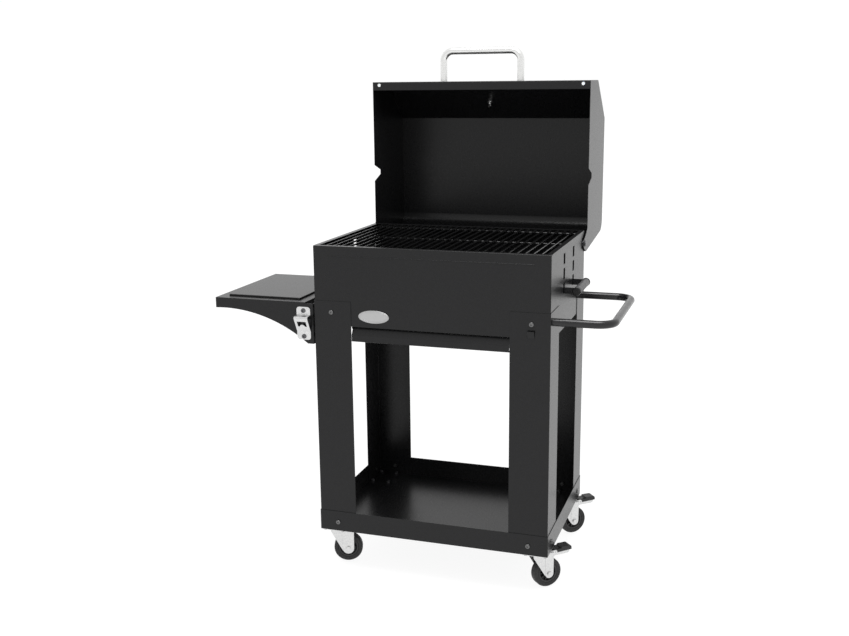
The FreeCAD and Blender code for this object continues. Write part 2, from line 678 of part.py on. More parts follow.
def pan_rim(outside, bowl_x, side_half):
    """The rim in four strips that meet the bowl and each other face to face."""
    height = (PAN_RIM - SHEET, PAN_RIM)
    strips = []
    for end in FRONT_BACK:
        strip = box((-PAN_HALF_X, PAN_HALF_X), (end * side_half, end * PAN_HALF_Y), height)
        strips.append(strip.cut(outside))
    for side in LEFT_RIGHT:
        strips.append(box((side * bowl_x, side * PAN_HALF_X), (-side_half, side_half), height))
    return strips


# ---------------------------------------------------------------- charcoal pan yokes
def mirrored_to(side, shape):
    return shape if side > 0 else shape.mirror(V(0, 0, 0), V(1, 0, 0))


def yoke_arms(side):
    """Two flat arms through the lowest slots; the pan's rim rests on their inner ends."""
    thickness, height = YOKE_ARM
    low = SLOT_SILLS[0] + 0.3
    arms = []
    for y in (-SLOT_Y, SLOT_Y):
        bar = box((YOKE_END_X, YOKE_GRIP_X), (y - thickness / 2, y + thickness / 2), (low, low + height))
        end = rod((YOKE_GRIP_X, y - thickness / 2, low + height / 2), (0, 1, 0), height / 2, thickness)
        hole = rod((YOKE_GRIP_X, y - 5, low + height / 2), (0, 1, 0), YOKE_SCREW + 0.1, 10)
        arms.append(bar.fuse(end).removeSplitter().cut(hole))
    return mirrored_to(side, group(arms))


def yoke_axis_z():
    return SLOT_SILLS[0] + 0.3 + YOKE_ARM[1] / 2


def yoke_grip(side):
    """The cross tube between the arms."""
    half = SLOT_Y - YOKE_ARM[0] / 2 - 0.1
    tube = ring((YOKE_GRIP_X, -half, yoke_axis_z()), (0, 1, 0), YOKE_GRIP_RADIUS, YOKE_SCREW + 0.1, 2 * half)
    return mirrored_to(side, tube)


def yoke_caps(side):
    """End caps outside the arms, each with its screw head."""
    caps = []
    for end in FRONT_BACK:
        start = end * (SLOT_Y + YOKE_ARM[0] / 2 + 0.1)
        cap = rod((YOKE_GRIP_X, start, yoke_axis_z()), (0, end, 0), YOKE_GRIP_RADIUS + 0.6, 7.0)
        rim = [e for e in cap.Edges if e.Closed and abs(e.CenterOfMass.y) > abs(start) + 3]
        cap = cap.makeFillet(2.5, rim)
        screw = rod((YOKE_GRIP_X, start, yoke_axis_z()), (0, -end, 0), YOKE_SCREW, 20)
        head = rod((YOKE_GRIP_X, start + end * 7.0, yoke_axis_z()), (0, end, 0), 4.2, 1.8)
        caps.append(fuse([cap, screw, head]))
    return mirrored_to(side, group(caps))


# ---------------------------------------------------------------- cooking grates
def cooking_grate(side):
    """Half of the cooking surface: long wires on three cross wires, welded where they meet."""
    wires = []
    half = GRATE_LENGTH / 2
    for i in range(GRATE_HALF_WIRES):
        x = GRATE_PITCH * (i + 0.5)
        wires.append(rod((x, -half, GRATE_LEVEL), (0, 1, 0), GRATE_WIRE, GRATE_LENGTH))
    last_x = GRATE_PITCH * (GRATE_HALF_WIRES - 0.5)
    for y in CROSS_WIRES_Y:
        wires.append(rod((3.0, y, GRATE_LEVEL - 2 * GRATE_WIRE + 0.5), (1, 0, 0), GRATE_WIRE, last_x + 5.0))
    return mirrored_to(side, fuse(wires))


# ---------------------------------------------------------------- lid, drawn open
def lid_path():
    """The lid's section from its front lip round to its back edge."""
    stop_y, stop_z = LID_STOP
    bend_y = LID_TOP_Y - 3.5
    bend = (bend_y, stop_z + LID_BACK_SLOPE * (bend_y - stop_y))
    return [(LID_OPEN_Y, LID_FRONT_Z), (LID_CHAMFER_Y, LID_FRONT_Z), (LID_TOP_Y, LID_CHAMFER_Z), bend,
            (stop_y, stop_z)]


def lid_shell():
    """The wrapper: front flange, front, slope, top and a large bend into the back."""
    path = [(LID_OPEN_Y, LID_FRONT_Z - LID_FLANGE)] + lid_path()
    radii = [2.2, 3.0, 3.0, LID_BEND_RADIUS]
    skin = bent_sheet(path[::-1], radii[::-1], SHEET, in_yz, (2 * LID_HALF_WIDTH, 0, 0))
    shell = moved(skin, -LID_HALF_WIDTH)
    holes = [rod((x, LID_HANDLE_Y, LID_FRONT_Z - 5), (0, 0, 1), 3.2, 10) for x in lid_handle_x()]
    holes += [rod((x, LID_OPEN_Y - 5, BUMPER_Z), (0, 1, 0), 2.1, 10) for x in (-BUMPER_X, BUMPER_X)]
    holes.append(along_thermometer(Part.makeCylinder(THERMO_STEM + 0.3, 20, V(0, 0, -10))))
    return cut(shell, holes)


def lid_side(side):
    """An end panel: its outline, the spit notch, and the tab that turns on the hinge pin."""
    path = lid_path()
    edges = rounded_edges(path, [3.0, 3.0, LID_BEND_RADIUS], in_yz)
    edges.append(Part.LineSegment(in_yz(*path[-1]), in_yz(HINGE_Y, HINGE_Z - 15)).toShape())
    edges.append(Part.LineSegment(in_yz(HINGE_Y, HINGE_Z - 15), in_yz(HINGE_Y, HINGE_Z + 15)).toShape())
    edges.append(Part.LineSegment(in_yz(HINGE_Y, HINGE_Z + 15), in_yz(LID_OPEN_Y, HINGE_Z + 34)).toShape())
    edges.append(Part.LineSegment(in_yz(LID_OPEN_Y, HINGE_Z + 34), in_yz(*path[0])).toShape())
    panel = Part.Face(Part.Wire(Part.__sortEdges__(edges))).extrude(V(SHEET, 0, 0))
    tab = rod((0, HINGE_Y, HINGE_Z), (1, 0, 0), 15.0, SHEET)
    deep = LID_OPEN_Y + NOTCH_DEPTH
    notch = flat_plate([(LID_OPEN_Y - 5, NOTCH_Z[0]), (LID_OPEN_Y, NOTCH_Z[0]), (deep, NOTCH_Z[1]),
                        (deep, NOTCH_Z[2]), (LID_OPEN_Y, NOTCH_Z[3]), (LID_OPEN_Y - 5, NOTCH_Z[3])],
                       in_yz, (SHEET, 0, 0))
    hole = rod((-1, HINGE_Y, HINGE_Z), (1, 0, 0), HINGE_RADIUS + RUNNING_GAP, 10)
    panel = cut(fuse([panel, tab]), [notch, hole])
    return mirrored_to(side, moved(panel, LID_HALF_WIDTH))


def hinge_pins():
    """Shoulder bolts through the lid's tabs and the side panels, with nuts inside."""
    solids = []
    for side in LEFT_RIGHT:
        outer = LID_HALF_WIDTH + SHEET + 0.3
        collar = rod((BOX_X, HINGE_Y, HINGE_Z), (1, 0, 0), 8.0, LID_HALF_WIDTH - BOX_X - 0.3)
        shaft = rod((BOX_X - SHEET - 6.5, HINGE_Y, HINGE_Z), (1, 0, 0), HINGE_RADIUS, outer - BOX_X + SHEET + 7)
        head = rod((outer, HINGE_Y, HINGE_Z), (1, 0, 0), 8.0, 3.2)
        crown = [e for e in head.Edges if e.Closed and e.CenterOfMass.x > outer + 2]
        head = head.makeFillet(2.0, crown)
        nut = hexagon((BOX_X - SHEET, HINGE_Y, HINGE_Z), (-1, 0, 0), 12.0, 5.0, bore=HINGE_RADIUS + RUNNING_GAP)
        solids += [mirrored_to(side, fuse([collar, shaft, head])), mirrored_to(side, nut)]
    return group(solids)


def lid_handle_x():
    return (-LID_HANDLE_SPACING / 2, LID_HANDLE_SPACING / 2)


def lid_handle():
    """A round bar bent into a U, standing on the lid's front face."""
    left, right = lid_handle_x()
    top = LID_FRONT_Z + LID_HANDLE_REACH - HANDLE_TUBE
    path = [(left, LID_FRONT_Z), (left, top), (right, top), (right, LID_FRONT_Z)]
    edges = rounded_edges(path, [LID_HANDLE_BEND] * 2, in_xz)
    bar = moved(tube_along(edges, HANDLE_TUBE), y=LID_HANDLE_Y)
    bores = [rod((x, LID_HANDLE_Y, LID_FRONT_Z - 1), (0, 0, 1), 3.1, 26) for x in (left, right)]
    return cut(bar, bores)


def lid_handle_screws():
    solids = []
    seat = LID_FRONT_Z - SHEET
    for x in lid_handle_x():
        solids += pan_screw((x, LID_HANDLE_Y, seat), (0, 0, -1), 3.0, 22.0, 7.0, 3.0, with_nut=False)
    return group(solids)


def lid_bumpers():
    """Two silicone buttons on the front flange, with stalks through it."""
    buttons = []
    for x in (-BUMPER_X, BUMPER_X):
        button = rod((x, LID_OPEN_Y, BUMPER_Z), (0, -1, 0), 4.3, LID_GAP - 0.3)
        stalk = rod((x, LID_OPEN_Y, BUMPER_Z), (0, 1, 0), 2.0, SHEET + 1.0)
        barb = rod((x, LID_OPEN_Y + SHEET, BUMPER_Z), (0, 1, 0), 3.0, 1.5)
        buttons.append(fuse([button, stalk, barb]))
    return group(buttons)


# ---------------------------------------------------------------- thermometer on the lid's slope
def along_thermometer(shape):
    """Moves a shape drawn about +Z at the origin onto the slope, pointing out of the lid."""
    run = unit((LID_CHAMFER_Y, LID_FRONT_Z), (LID_TOP_Y, LID_CHAMFER_Z))
    outward = V(0, -run[1], run[0])
    middle = V(THERMO_X, (LID_CHAMFER_Y + LID_TOP_Y) / 2, (LID_FRONT_Z + LID_CHAMFER_Z) / 2)
    result = shape.copy()
    result.Placement = FreeCAD.Placement(middle, FreeCAD.Rotation(V(0, 0, 1), outward)).multiply(result.Placement)
    return result


def thermometer_case():
    """The cup and its rolled bezel, with the threaded stem and sensor inside the lid."""
    cup = Part.makeCylinder(THERMO_RADIUS, 12.0, V(0, 0, 0.2))
    cup = cup.makeFillet(2.0, [e for e in cup.Edges if e.Closed and e.CenterOfMass.z > 10])
    hollow = Part.makeCylinder(THERMO_RADIUS - 3.0, 11.0, V(0, 0, 3.2))
    stem = Part.makeCylinder(THERMO_STEM, 14.0, V(0, 0, -13.5))
    sensor = Part.makeCylinder(2.2, 14.0, V(0, 0, -26.5))
    return along_thermometer(fuse([cup.cut(hollow), stem, sensor]))


def thermometer_dial():
    dial = Part.makeCylinder(THERMO_GLASS_RADIUS, 0.8, V(0, 0, 3.25))
    return along_thermometer(dial.cut(Part.makeCylinder(0.8, 2, V(0, 0, 3.0))))


def thermometer_pointer():
    """A thin needle on a staff that turns in the dial's centre."""
    staff = Part.makeCylinder(0.75, 3.0, V(0, 0, 3.3))
    disc = Part.makeCylinder(2.4, 0.6, V(0, 0, 5.4))
    needle = flat_plate([(-0.9, -6.0), (0.9, -6.0), (0.35, 18.0), (-0.35, 18.0)], in_xy, (0, 0, 0.5))
    return along_thermometer(turned(fuse([staff, disc, moved(needle, z=5.4)]), 70))


def thermometer_glass():
    return along_thermometer(Part.makeCylinder(THERMO_GLASS_RADIUS, 1.5, V(0, 0, 9.2)))


def thermometer_nut():
    """The wing nut that holds the thermometer from inside the lid."""
    start = -SHEET - 0.1
    hub = ring((0, 0, start), (0, 0, -1), 6.0, THERMO_STEM + 0.1, 7.0)
    wings = []
    for side in LEFT_RIGHT:
        wing = flat_plate([(side * 5.0, start), (side * 10, start - 5), (side * 9, start - 12),
                           (side * 5.0, start - 7)], in_xz, (0, 2.4, 0))
        wings.append(moved(wing, y=-1.2))
    return along_thermometer(turned(fuse([hub] + wings), 90))


# ---------------------------------------------------------------- push handle, badge
def push_handle():
    """A round bar bent into a U in a level plane, with its ends against the right legs."""
    front, rear = PUSH_Y
    path = [(LEG_X, front), (PUSH_REACH_X, front), (PUSH_REACH_X, rear), (LEG_X, rear)]
    edges = rounded_edges(path, [PUSH_BEND] * 2, in_xy)
    bar = moved(tube_along(edges, HANDLE_TUBE), z=PUSH_Z)
    bores = [rod((LEG_X - 1, y, PUSH_Z), (1, 0, 0), FRAME_SCREW_RADIUS + 0.1, 30) for y in PUSH_Y]
    return cut(bar, bores)


def badge_plate():
    """A blank oval plate on the front panel."""
    face = Part.Face(Part.Wire(Part.Ellipse(V(0, 0, 0), 40.0, 16.25).toShape()))
    plate = face.extrude(V(0, 0, 1.6))
    top = [e for e in plate.Edges if e.Closed and e.CenterOfMass.z > 1]
    plate = plate.makeFillet(1.0, top)
    plate = turned(plate, 90, (1, 0, 0))
    return moved(plate, -141.0, -BOX_Y, 673.0)


# ---------------------------------------------------------------- side table
def table_top():
    """A pressed top: a rim, a raised middle panel and an apron at the outer end."""
    y0, y1 = TABLE_Y[0] + SHEET, TABLE_Y[1] - SHEET
    rim = box((TABLE_OUTER_X, TABLE_INNER_X), (y0, y1), (TABLE_TOP - SHEET, TABLE_TOP))
    apron = box((TABLE_OUTER_X, TABLE_OUTER_X + SHEET), (y0, y1), (TABLE_TOP - TABLE_APRON, TABLE_TOP))
    inner = box((TABLE_INNER_X - SHEET, TABLE_INNER_X), (y0, y1), (TABLE_TOP - 14, TABLE_TOP))
    inset = TABLE_PANEL_INSET
    raised = box((TABLE_OUTER_X + inset, TABLE_INNER_X - inset), (y0 + inset, y1 - inset),
                 (TABLE_TOP - SHEET, TABLE_TOP + TABLE_PANEL_RISE))
    top_edges = [e for e in raised.Edges if e.CenterOfMass.z > TABLE_TOP]
    raised = raised.makeFillet(2.0, top_edges)
    under = box((TABLE_OUTER_X + inset + SHEET, TABLE_INNER_X - inset - SHEET),
                (y0 + inset + SHEET, y1 - inset - SHEET),
                (TABLE_TOP - 2 * SHEET, TABLE_TOP + TABLE_PANEL_RISE - SHEET))
    top = fuse([rim, apron, inner, raised]).cut(under)
    corners = [e for e in top.Edges if abs(e.CenterOfMass.x - TABLE_OUTER_X) < 0.01
               and e.CenterOfMass.z > TABLE_TOP - 0.1]
    return top.makeFillet(0.9, corners)


def bracket_outline():
    """Edges of a table bracket: a shallow concave arc from the apron down to the leg."""
    outer_low = V(TABLE_OUTER_X, 0, TABLE_TOP - TABLE_APRON)
    inner_low = V(BRACKET_ARC_END, 0, BRACKET_LOW)
    middle = in_xz(*BRACKET_ARC_MIDDLE)
    corner_low = V(BRACKET_END_X, 0, BRACKET_LOW)
    corner_high = V(BRACKET_END_X, 0, BRACKET_TAB_TOP)
    step = V(TABLE_INNER_X, 0, BRACKET_TAB_TOP)
    step_top = V(TABLE_INNER_X, 0, TABLE_TOP)
    outer_top = V(TABLE_OUTER_X, 0, TABLE_TOP)
    line = Part.LineSegment
    return [Part.Arc(outer_low, middle, inner_low).toShape(), line(inner_low, corner_low).toShape(),
            line(corner_low, corner_high).toShape(), line(corner_high, step).toShape(),
            line(step, step_top).toShape(), line(step_top, outer_top).toShape(),
            line(outer_top, outer_low).toShape()]


def keyhole(y, z):
    """A hole that passes a screw's head, and the narrow neck above it that hangs on the shoulder."""
    x = BRACKET_END_X - 5
    return [rod((x, y, z - KEYHOLE_DROP), (1, 0, 0), 7.5, 10),
            rod((x, y, z), (1, 0, 0), 4.3, 10),
            box((x, x + 10), (y - 4.3, y + 4.3), (z - KEYHOLE_DROP, z))]


def table_brackets():
    """Two brackets under the top, each with a tab that hangs on two shoulder screws."""
    brackets = []
    web = Part.Face(Part.Wire(Part.__sortEdges__(bracket_outline()))).extrude(V(0, SHEET, 0))
    for y, screw_y in zip((TABLE_Y[0], TABLE_Y[1] - SHEET), PUSH_Y):
        tab = box((BRACKET_END_X - SHEET, BRACKET_END_X), (y, screw_y + 11.0), (BRACKET_LOW, BRACKET_TAB_TOP))
        holes = [tool for z in TABLE_SCREW_Z for tool in keyhole(screw_y, z)]
        bracket = cut(fuse([moved(web, y=y), tab]), holes)
        brackets.append(bracket)
    return group(brackets)


def bottle_opener():
    """A stamped opener: two flat ends, and between them a nose that stands out over a toothed window."""
    back = TABLE_Y[0]
    path = [(back, OPENER_TOP), (back, 667.0), (back - OPENER_NOSE, 664.0), (back, 626.0), (back, OPENER_BOTTOM)]
    strip = bent_sheet(path[::-1], [6.0, 2.5, 3.0], OPENER_SHEET, in_yz, (2 * OPENER_HALF, 0, 0))
    strip = moved(strip, OPENER_X - OPENER_HALF)
    half = 12.0
    window = box((OPENER_X - half, OPENER_X + half), (back - 40, back - 4.5), (639.5, 653.5))
    tooth = rod((OPENER_X, back - 40, 638.0), (0, 1, 0), 7.0, 36)
    strip = strip.cut(window.cut(tooth))
    corner_radius = 8.0
    for z, sign in ((OPENER_TOP, 1), (OPENER_BOTTOM, -1)):
        for side in LEFT_RIGHT:
            centre_x = OPENER_X + side * (OPENER_HALF - corner_radius)
            centre_z = z - sign * corner_radius
            corner = box((OPENER_X + side * OPENER_HALF, centre_x), (back - 10, back + 2), (z, centre_z))
            round_off = rod((centre_x, back - 10, centre_z), (0, 1, 0), corner_radius, 12)
            strip = strip.cut(corner.cut(round_off))
    holes = [rod((OPENER_X, back - 15, z), (0, 1, 0), 2.2, 20) for z in OPENER_SCREWS]
    return cut(strip, holes)


def opener_screws():
    solids = []
    for z in OPENER_SCREWS:
        point = (OPENER_X, TABLE_Y[0] - OPENER_SHEET, z)
        solids += pan_screw(point, (0, -1, 0), 2.0, OPENER_SHEET + SHEET, 6.0, 2.8)
    return group(solids)


def bracket_with_opener_holes():
    holes = [rod((OPENER_X, TABLE_Y[0] - 5, z), (0, 1, 0), 2.2, 12) for z in OPENER_SCREWS]
    return cut(table_brackets(), holes)


# ---------------------------------------------------------------- assembly
def assembly():
    nodes = {
        "storage_tray": storage_tray(),
        "leg_front_left": leg(-1, -1),
        "leg_front_right": leg_front_right(),
        "leg_rear_left": leg(-1, 1),
        "leg_rear_right": leg(1, 1),
        "firebox_front": firebox_front(),
        "firebox_back": firebox_back(),
        "firebox_left": firebox_side(-1),
        "firebox_right": firebox_side(1),
        "firebox_floor": firebox_floor(),
        "frame_screws": frame_screws(),
        "side_screws": side_screws(),
        "hinge_pins": hinge_pins(),
        "badge_plate": badge_plate(),
        "push_handle": push_handle(),
        "drawer_rails": drawer_rails(),
        "castor_plates": castor_plates(),
        "castor_bolts": castor_bolts(),
        "ash_drawer": ash_drawer(),
        "charcoal_pan": charcoal_pan(),
        "lid_shell": lid_shell(),
        "lid_sides": group([lid_side(-1), lid_side(1)]),
        "lid_handle": lid_handle(),
        "lid_handle_screws": lid_handle_screws(),
        "lid_bumpers": lid_bumpers(),
        "thermometer_case": thermometer_case(),
        "thermometer_dial": thermometer_dial(),
        "thermometer_pointer": thermometer_pointer(),
        "thermometer_glass": thermometer_glass(),
        "thermometer_nut": thermometer_nut(),
        "table_top": table_top(),
        "table_brackets": bracket_with_opener_holes(),
        "bottle_opener": bottle_opener(),
        "opener_screws": opener_screws(),
    }
    for side, word in ((-1, "left"), (1, "right")):
        nodes["cooking_grate_" + word] = cooking_grate(side)
        nodes["pan_yoke_" + word] = yoke_arms(side)
        nodes["pan_yoke_grip_" + word] = yoke_grip(side)
        nodes["pan_yoke_caps_" + word] = yoke_caps(side)
    for name in CASTOR_TURN:
        nodes["castor_fork_" + name] = castor_fork(name)
        nodes["castor_axle_" + name] = castor_axle(name)
        nodes["castor_tyre_" + name] = castor_tyre(name)
        nodes["castor_hub_" + name] = castor_hub(name)
        if "right" in name:
            nodes["brake_pedal_" + name] = brake_pedal(name)
    return nodes


def export(nodes):
    """Moves everything so that the origin is the middle of the base of the overall box."""
    whole = FreeCAD.BoundBox()
    for shape in nodes.values():
        whole.add(shape.optimalBoundingBox(False, False))
    shift = (-whole.Center.x, -whole.Center.y, -whole.ZMin)
    print("nodes:", len(nodes), "size:", whole.XLength, whole.YLength, whole.ZLength, "shift:", shift)
    os.makedirs("parts", exist_ok=True)
    for name, shape in nodes.items():
        if not shape.isValid():
            print("not valid:", name)
        moved(shape, *shift).exportStep("parts/" + name + ".step")


export(assembly())
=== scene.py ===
import json
import math

import bmesh
import bpy
from mathutils import Matrix, Vector


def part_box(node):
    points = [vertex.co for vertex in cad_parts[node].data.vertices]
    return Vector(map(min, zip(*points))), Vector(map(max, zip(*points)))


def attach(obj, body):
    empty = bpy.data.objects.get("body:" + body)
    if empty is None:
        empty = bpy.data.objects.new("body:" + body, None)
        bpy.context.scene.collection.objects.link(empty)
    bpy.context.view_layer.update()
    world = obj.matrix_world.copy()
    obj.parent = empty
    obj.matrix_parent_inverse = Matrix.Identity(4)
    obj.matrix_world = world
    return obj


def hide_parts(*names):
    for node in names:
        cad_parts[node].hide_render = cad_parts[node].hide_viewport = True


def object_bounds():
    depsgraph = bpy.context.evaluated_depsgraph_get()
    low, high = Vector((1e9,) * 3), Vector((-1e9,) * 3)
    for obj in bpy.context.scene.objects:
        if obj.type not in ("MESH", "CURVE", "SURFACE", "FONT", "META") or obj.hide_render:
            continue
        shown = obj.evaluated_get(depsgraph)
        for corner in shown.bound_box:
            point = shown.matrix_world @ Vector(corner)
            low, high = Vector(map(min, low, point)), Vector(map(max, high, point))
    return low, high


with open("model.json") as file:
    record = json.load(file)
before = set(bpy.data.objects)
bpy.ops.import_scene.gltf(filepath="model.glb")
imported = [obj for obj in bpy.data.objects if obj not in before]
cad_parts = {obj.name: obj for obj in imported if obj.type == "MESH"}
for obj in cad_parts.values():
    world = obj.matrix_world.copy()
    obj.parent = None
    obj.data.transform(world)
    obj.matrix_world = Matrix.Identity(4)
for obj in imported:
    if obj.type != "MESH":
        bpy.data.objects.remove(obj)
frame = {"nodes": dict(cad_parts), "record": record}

# Charcoal grill trolley, in metres: +X to the right of a person in front, +Y to the back, Z up.
CAD_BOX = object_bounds()
MM = 0.001
NOISE_ROUGHNESS = 0.55

# the eye is placed from the middle of the tray in plan, and from the tray's underside in height
EYE_OFFSET = (0.78555, -2.5892, 1.14099)
EYE_YAW, EYE_PITCH, EYE_ROLL = 0.3233, 0.2209, -0.0110
LENS, SENSOR_WIDTH = 45.22, 36.0

FLOOR_RADIUS = 40.0
FLOOR_DROP = 0.0005

# the top light hangs from this offset above the middle of the grill
LIGHT_OFFSET = (0.3, -0.6, 2.6)
LIGHT_SIZE = (1.6, 1.6)
LIGHT_WATTS = 60


# ---------------------------------------------------------------- node helpers
def new_material(name, colour, roughness, metallic=0.0, **inputs):
    """A Principled material; inputs are further sockets by name, with _ for a space."""
    made = bpy.data.materials.new(name)
    made.use_nodes = True
    shader = made.node_tree.nodes["Principled BSDF"]
    shader.inputs["Base Color"].default_value = (*colour, 1.0)
    shader.inputs["Roughness"].default_value = roughness
    shader.inputs["Metallic"].default_value = metallic
    for key, value in inputs.items():
        shader.inputs[key.replace("_", " ")].default_value = value
    return made


def shader_of(made):
    return made.node_tree.nodes["Principled BSDF"]


def object_coords(made, stretch=(1.0, 1.0, 1.0)):
    nodes, links = made.node_tree.nodes, made.node_tree.links
    coords = nodes.new("ShaderNodeTexCoord")
    mapping = nodes.new("ShaderNodeMapping")
    mapping.inputs["Scale"].default_value = stretch
    links.new(coords.outputs["Object"], mapping.inputs["Vector"])
    return mapping.outputs["Vector"]


def noise(made, scale, detail=3.0, stretch=(1.0, 1.0, 1.0)):
    """Cloudy noise; scale is in cycles per metre."""
    node = made.node_tree.nodes.new("ShaderNodeTexNoise")
    node.inputs["Scale"].default_value = scale
    node.inputs["Detail"].default_value = detail
    node.inputs["Roughness"].default_value = NOISE_ROUGHNESS
    made.node_tree.links.new(object_coords(made, stretch), node.inputs["Vector"])
    return node.outputs["Fac"]


def cells(made, scale):
    """Rounded cells; scale is in cells per metre."""
    node = made.node_tree.nodes.new("ShaderNodeTexVoronoi")
    node.inputs["Scale"].default_value = scale
    made.node_tree.links.new(object_coords(made), node.inputs["Vector"])
    return node.outputs["Distance"]


def vary_colour(made, value, low, high, start=0.35, end=0.65):
    """The base colour runs from low to high as value runs from start to end."""
    ramp = made.node_tree.nodes.new("ShaderNodeValToRGB")
    ramp.color_ramp.elements[0].position = start
    ramp.color_ramp.elements[0].color = (*low, 1.0)
    ramp.color_ramp.elements[1].position = end
    ramp.color_ramp.elements[1].color = (*high, 1.0)
    made.node_tree.links.new(value, ramp.inputs["Fac"])
    made.node_tree.links.new(ramp.outputs["Color"], shader_of(made).inputs["Base Color"])


def vary_roughness(made, value, low, high, start=0.35, end=0.65):
    scaled = made.node_tree.nodes.new("ShaderNodeMapRange")
    scaled.inputs["From Min"].default_value = start
    scaled.inputs["From Max"].default_value = end
    scaled.inputs["To Min"].default_value = low
    scaled.inputs["To Max"].default_value = high
    made.node_tree.links.new(value, scaled.inputs["Value"])
    made.node_tree.links.new(scaled.outputs["Result"], shader_of(made).inputs["Roughness"])


def bump(made, value, height, strength=1.0):
    node = made.node_tree.nodes.new("ShaderNodeBump")
    node.inputs["Distance"].default_value = height
    node.inputs["Strength"].default_value = strength
    made.node_tree.links.new(value, node.inputs["Height"])
    made.node_tree.links.new(node.outputs["Normal"], shader_of(made).inputs["Normal"])


# ---------------------------------------------------------------- materials
def powder_coat():
    """Satin black powder coat: a fine orange peel and faint clouds in its gloss."""
    made = new_material("powder_coat", (0.0065, 0.0065, 0.007), 0.3, IOR=1.36)
    vary_colour(made, noise(made, 160, 3), (0.0058, 0.0058, 0.0062), (0.0072, 0.0072, 0.0078))
    vary_roughness(made, noise(made, 260, 3), 0.27, 0.33)
    bump(made, noise(made, 900, 2), 0.00003, 0.35)
    return made


def gloss_coat():
    made = new_material("gloss_coat", (0.008, 0.008, 0.009), 0.2, IOR=1.46)
    vary_colour(made, noise(made, 25, 3), (0.007, 0.007, 0.008), (0.010, 0.010, 0.011))
    vary_roughness(made, noise(made, 60, 3), 0.18, 0.28)
    bump(made, noise(made, 500, 2), 0.00004, 0.4)
    return made


def enamel():
    made = new_material("enamel", (0.004, 0.004, 0.0045), 0.16, IOR=1.45)
    vary_colour(made, noise(made, 40, 4), (0.003, 0.003, 0.0035), (0.006, 0.006, 0.006))
    vary_roughness(made, noise(made, 90, 3), 0.12, 0.2)
    bump(made, noise(made, 900, 2), 0.00008, 0.5)
    return made


def grip_paint():
    made = new_material("grip_paint", (0.055, 0.055, 0.057), 0.42, IOR=1.42)
    vary_colour(made, noise(made, 60, 3), (0.048, 0.048, 0.05), (0.062, 0.062, 0.064))
    vary_roughness(made, noise(made, 120, 3), 0.35, 0.5)
    bump(made, noise(made, 800, 2), 0.00005, 0.5)
    return made


def satin_steel():
    """Ground stainless steel, with grinding lines round the bar."""
    made = new_material("satin_steel", (0.62, 0.62, 0.61), 0.3, 1.0)
    lines = noise(made, 60, 6, (1, 1, 45))
    vary_colour(made, lines, (0.78, 0.78, 0.77), (0.84, 0.84, 0.83), 0.3, 0.7)
    vary_roughness(made, lines, 0.24, 0.3, 0.3, 0.7)
    bump(made, noise(made, 400, 3, (1, 1, 12)), 0.000008, 0.3)
    return made


def zinc():
    """Bright zinc plating: a faint spangle and uneven gloss."""
    made = new_material("zinc", (0.72, 0.72, 0.72), 0.3, 1.0)
    vary_colour(made, cells(made, 220), (0.6, 0.605, 0.61), (0.68, 0.68, 0.675), 0.1, 0.7)
    vary_roughness(made, noise(made, 90, 4), 0.26, 0.38)
    bump(made, noise(made, 300, 3), 0.00001, 0.3)
    return made


def badge_metal():
    made = new_material("badge_metal", (0.46, 0.46, 0.46), 0.35, 1.0)
    lines = noise(made, 90, 5, (1, 30, 30))
    vary_colour(made, lines, (0.42, 0.42, 0.42), (0.5, 0.5, 0.5), 0.3, 0.7)
    vary_roughness(made, lines, 0.28, 0.42, 0.3, 0.7)
    return made


def bright_screw():
    made = new_material("bright_screw", (0.15, 0.15, 0.15), 0.3, 1.0)
    vary_colour(made, noise(made, 400, 3), (0.12, 0.12, 0.12), (0.19, 0.19, 0.19))
    vary_roughness(made, noise(made, 500, 3), 0.25, 0.4)
    return made


def dark_fastener():
    made = new_material("dark_fastener", (0.1, 0.1, 0.105), 0.35, 0.8)
    vary_colour(made, noise(made, 300, 3), (0.08, 0.08, 0.085), (0.15, 0.15, 0.155))
    vary_roughness(made, noise(made, 500, 3), 0.28, 0.45)
    return made


def silicone():
    made = new_material("silicone", (0.8, 0.8, 0.79), 0.5, Subsurface_Weight=0.1)
    vary_colour(made, noise(made, 300, 3), (0.76, 0.76, 0.75), (0.84, 0.84, 0.83))
    return made


def dial_face():
    made = new_material("dial_face", (0.85, 0.85, 0.83), 0.5)
    vary_colour(made, noise(made, 200, 3), (0.82, 0.82, 0.8), (0.87, 0.87, 0.85))
    return made


def dial_print():
    made = new_material("dial_print", (0.03, 0.03, 0.03), 0.5)
    vary_colour(made, noise(made, 400, 3), (0.02, 0.02, 0.02), (0.04, 0.04, 0.04))
    return made


def clear_glass():
    made = new_material("clear_glass", (1.0, 1.0, 1.0), 0.02, IOR=1.5, Transmission_Weight=1.0)
    vary_roughness(made, noise(made, 80, 3), 0.01, 0.05)
    return made


def moulded_plastic(name, colour, roughness):
    low = tuple(c * 0.8 for c in colour)
    high = tuple(c * 1.25 for c in colour)
    made = new_material(name, colour, roughness, IOR=1.46)
    vary_colour(made, noise(made, 120, 3), low, high)
    vary_roughness(made, noise(made, 200, 3), roughness - 0.06, roughness + 0.08)
    bump(made, noise(made, 1800, 2), 0.00006, 0.5)
    return made


def tyre_rubber():
    made = new_material("tyre_rubber", (0.014, 0.014, 0.015), 0.55, IOR=1.45)
    vary_colour(made, noise(made, 70, 5), (0.011, 0.011, 0.012), (0.018, 0.018, 0.018))
    vary_roughness(made, noise(made, 160, 4), 0.5, 0.75)
    bump(made, noise(made, 1200, 3), 0.00012, 0.6)
    return made


